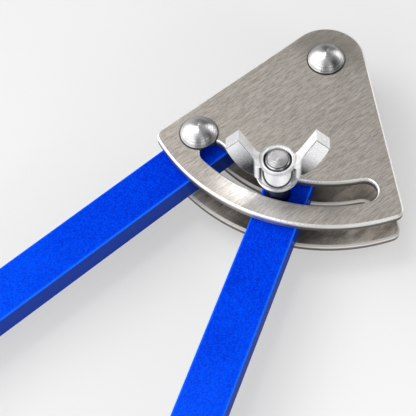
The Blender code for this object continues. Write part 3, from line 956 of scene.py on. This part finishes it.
# Painted shade in the front of the mouth.
tint(tree, shader, nut_painted_mouth_shade, falling(tree, away, *mouth_away),
     rising(tree, front, *mouth_front))
round_way = math_node(tree, "MULTIPLY", math_node(
    tree, "ARCTAN2", reach, math_node(tree, "ABSOLUTE", front)), barrel_radius)
below_centre = math_node(tree, "SUBTRACT", shield_centre, height)
shield_reach = math_node(tree, "SQRT", math_node(
    tree, "ADD", math_node(tree, "MULTIPLY", round_way, round_way),
    math_node(tree, "MULTIPLY", below_centre, below_centre)))
outline_end = shield_radius + outline_width
tint(tree, shader, nut_dark_line_and_shadow,
     band(tree, shield_reach, shield_radius - 0.0002, shield_radius, outline_end,
          outline_end + outline_soft),
     falling(tree, away, barrel_limit - 0.0002, barrel_limit),
     falling(tree, height, shield_centre - 0.0004, shield_centre))
# Painted shadow below the ring.
tint(tree, shader, nut_dark_line_and_shadow, band(tree, height, *ring_shadow_height),
     falling(tree, away, *ring_shadow_away))
print("ring, mouth and shield shaded")

# %% [markdown]
# ## Threaded clamp bolt
#
# The solid of the bolt is a plain pin. The real one carries a rolled thread where the nut
# runs, with a short turned nose at its end, a plain shank below it, a square neck that sits in
# the rear slot and a low round head. All of these are stacked rows of points round one axis,
# so one skin from the head's crown to the bolt's end makes the whole piece. A screw modifier
# could sweep the thread, but rows also take the square neck and the nose without a joint.

# %% Round and square rows
columns = 72
shank_radius = 0.00395
head_radius = (bolt_high.x - bolt_low.x) / 2
neck_half = 0.0040
neck_low = 0.0023
neck_corner = 1.34


def ring_row(height, radius, square=False, twist=0.0):
    """Points round the bolt's axis: a circle, or a square with small round corners."""
    row = []
    for column in range(columns):
        turn = math.tau * column / columns
        reach = radius
        if square:
            side = max(abs(math.cos(turn)), abs(math.sin(turn)))
            reach = min(radius / side, radius * neck_corner)
        turn += twist
        row.append(Vector((reach * math.cos(turn), reach * math.sin(turn), height)))
    return row


print("round and square rows defined")

# %% [markdown]
# A row on the thread is a circle that dips where the groove winds past it. The groove begins
# and ends softly, as a rolled one does, and the last rows narrow to the turned nose.

# %% Rows on the thread
thread_pitch = 0.00125
thread_depth = 0.00072
thread_start = 0.0223
flank_slope = 2.6
crest_share = 0.15
end_chamfer = 0.0006
nose_radius = 0.00390
nose_length = 0.0011


def clamp(value):
    """Keep a number between 0 and 1."""
    return min(1, max(0, value))


def thread_row(height):
    """Points on the thread at one height: the crest winds up once for each pitch."""
    row = []
    fade = clamp((height - thread_start) / thread_pitch)
    fade *= clamp((bolt_high.z - end_chamfer * 1.1 - height) / thread_pitch)
    for column in range(columns):
        turn = math.tau * column / columns
        phase = (height / thread_pitch - turn / math.tau) % 1
        groove = clamp(abs(phase - 0.5) * flank_slope - crest_share)
        radius = shank_radius - thread_depth * groove * fade
        radius = min(radius, shank_radius - end_chamfer + (bolt_high.z - height))
        if height > bolt_high.z - nose_length:
            radius = min(radius, nose_radius)
        row.append(Vector((radius * math.cos(turn), radius * math.sin(turn), height)))
    return row


print("rows on the thread defined")

# %% [markdown]
# The rows go up from the crown of the head, past its rim, the square neck and the plain
# shank, to the thread.

# %% Stack the rows
head_top = neck_low + 0.0004
head_edge = 0.0002
head_rim = 0.0008
crown_height = head_top - head_rim - bolt_low.z
crown_sphere = (head_radius ** 2 + crown_height ** 2) / (2 * crown_height)
crown_spread = math.asin(head_radius / crown_sphere)
crown_steps = 12
neck_turn = math.radians(2.2)
rows_for_a_turn = 12
rows = []
for step in range(1, crown_steps + 1):
    slope = crown_spread * step / crown_steps
    height = bolt_low.z + crown_sphere * (1 - math.cos(slope))
    rows.append(ring_row(height, crown_sphere * math.sin(slope)))
rows.append(ring_row(head_top - head_edge, head_radius))
rows.append(ring_row(head_top, head_radius - head_edge))
rows.append(ring_row(head_top, neck_half, True, neck_turn))
rows.append(ring_row(rear_high.z, neck_half, True, neck_turn))
rows.append(ring_row(rear_high.z, shank_radius))
rows.append(ring_row(thread_start, shank_radius))
thread_rows = int((bolt_high.z - thread_start) / thread_pitch * rows_for_a_turn)
for step in range(1, thread_rows + 1):
    rows.append(thread_row(thread_start + (bolt_high.z - thread_start) * step / thread_rows))
print(len(rows), "rows from crown to nose")

# %% [markdown]
# Neighbouring rows are joined by faces and both ends are closed, so the skin is one closed
# shape. It shades smooth, except where two faces meet at a clear angle.

# %% Skin of the bolt
sharp_angle = math.radians(32)
maker = bmesh.new()
rings = [[maker.verts.new(point) for point in row] for row in rows]
for lower, upper in zip(rings, rings[1:]):
    for column in range(columns):
        beside = (column + 1) % columns
        maker.faces.new((lower[column], lower[beside], upper[beside], upper[column]))
maker.faces.new(list(reversed(rings[0])))
maker.faces.new(rings[-1])
bmesh.ops.translate(maker, verts=maker.verts, vec=(bolt_axis.x, bolt_axis.y, 0))
bolt_mesh = bpy.data.meshes.new("threaded_clamp_bolt")
maker.to_mesh(bolt_mesh)
maker.free()
bolt_mesh.shade_smooth()
bolt_mesh.set_sharp_from_angle(angle=sharp_angle)
threaded_bolt = bpy.data.objects.new("threaded_clamp_bolt", bolt_mesh)
bpy.context.scene.collection.objects.link(threaded_bolt)
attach(threaded_bolt, "swing_leg")
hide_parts("clamp_bolt")
print("bolt skin of", len(bolt_mesh.polygons), "faces")

# %% [markdown]
# The bolt's end was faced on a lathe, which leaves rings, and its plating is brighter than the
# nut's because a rolled thread is smooth. A fine dark line parts the end from its chamfer.
# Between the bar and the washer the shank is painted dark blue, a painted reflection of the
# shaded bar, and the head below stays bright. The washer is stamped from bright strip.

# %% Bolt and washer material
bolt_dark = (0.72, 0.72, 0.73)
bolt_light = (0.80, 0.80, 0.81)
bolt_end = (0.53, 0.53, 0.535)
bolt_line = (0.08, 0.08, 0.085)
shank_painted_reflection = (0.035, 0.045, 0.10)
line_width = (0.00010, 0.00024)
reflection_soft = 0.0005
turned_zinc = turned_metal("turned_zinc", bolt_axis, bolt_dark, bolt_light, gloss=0.24,
                           dull=0.34, fan=0.6)
bolt_mesh.materials.append(turned_zinc)
tree = turned_zinc.node_tree
shader = tree.nodes["Principled BSDF"]
place = tree.nodes["Texture Coordinate"].outputs["Object"]
away, height, spoke = from_axis(tree, place, (bolt_axis.x, bolt_axis.y, bolt_high.z))
end_radius = shank_radius - end_chamfer
at_end = rising(tree, height, -0.0002, -0.0001)
tint(tree, shader, bolt_end, at_end, falling(tree, away, end_radius - 0.0001, end_radius))
off_line = math_node(tree, "ABSOLUTE", math_node(tree, "SUBTRACT", away, end_radius))
tint(tree, shader, bolt_line, at_end, falling(tree, off_line, *line_width))
reflection_top = washer_low.z - bolt_high.z
reflection_low = leg_low.z - bolt_high.z
# Painted reflection of the shaded bar on the shank.
tint(tree, shader, shank_painted_reflection,
     band(tree, height, reflection_low - reflection_soft, reflection_low, reflection_top, reflection_top + reflection_soft))
stamped_zinc = turned_metal("stamped_zinc", bolt_axis, bolt_dark, bolt_light, gloss=0.22,
                            dull=0.36, metallic=0.7)
dress(stamped_zinc, "nut_washer")
print("bolt and washer in bright zinc")

# %% [markdown]
# ## Scriber points and set screws
#
# The points are ground from hardened rod, so their lines run across the cone and the steel is
# darker than the plated pieces. The set screws are black oxide, a thin matt skin. Both hide at
# the ends of the bars and still get a finish of their own, because the tool is looked at from
# every side.

# %% Point material
point_dark = (0.28, 0.28, 0.29)
point_light = (0.52, 0.52, 0.53)
ground_point, tree, shader, place = new_material("ground_point", point_light, 1.0, 0.28)
brush = use_group(tree, brush_lines, place, Turn=math.radians(90), Length=0.0020,
                  Width=0.00008)
marks = use_group(tree, handling, place, Smudge_size=0.004)
tone = weighted_sum(tree, (brush["Lines"], 0.7), (marks["Smudge"], 0.3))
tree.links.new(blend(tree, rising(tree, tone, 0.35, 0.65), point_dark, point_light),
               shader.inputs["Base Color"])
tree.links.new(remap(tree, tone, 0.35, 0.65, 0.40, 0.22), shader.inputs["Roughness"])
raise_surface(tree, shader, brush["Lines"], 0.000008)
dress(ground_point, "fixed_point", "swing_point")
print("points ground")

# %% [markdown]
# What tells black oxide from paint is its wear: small grey spots where a key has touched it.

# %% Set screw material
oxide_black = (0.018, 0.018, 0.020)
oxide_worn = (0.10, 0.10, 0.105)
grain_size = 0.00025
black_oxide, tree, shader, place = new_material("black_oxide", oxide_black, 0.8, 0.45)
grain = noise_of(tree, place, grain_size, 3.0)
marks = use_group(tree, handling, place, Smudge_size=0.002)
wear = rising(tree, weighted_sum(tree, (marks["Smudge"], 0.7), (grain, 0.3)), 0.48, 0.68)
tree.links.new(blend(tree, wear, oxide_black, oxide_worn), shader.inputs["Base Color"])
tree.links.new(remap(tree, grain, 0.3, 0.7, 0.36, 0.55), shader.inputs["Roughness"])
raise_surface(tree, shader, grain, 0.000012)
dress(black_oxide, "fixed_set_screw", "swing_set_screw")
print("set screws blackened")
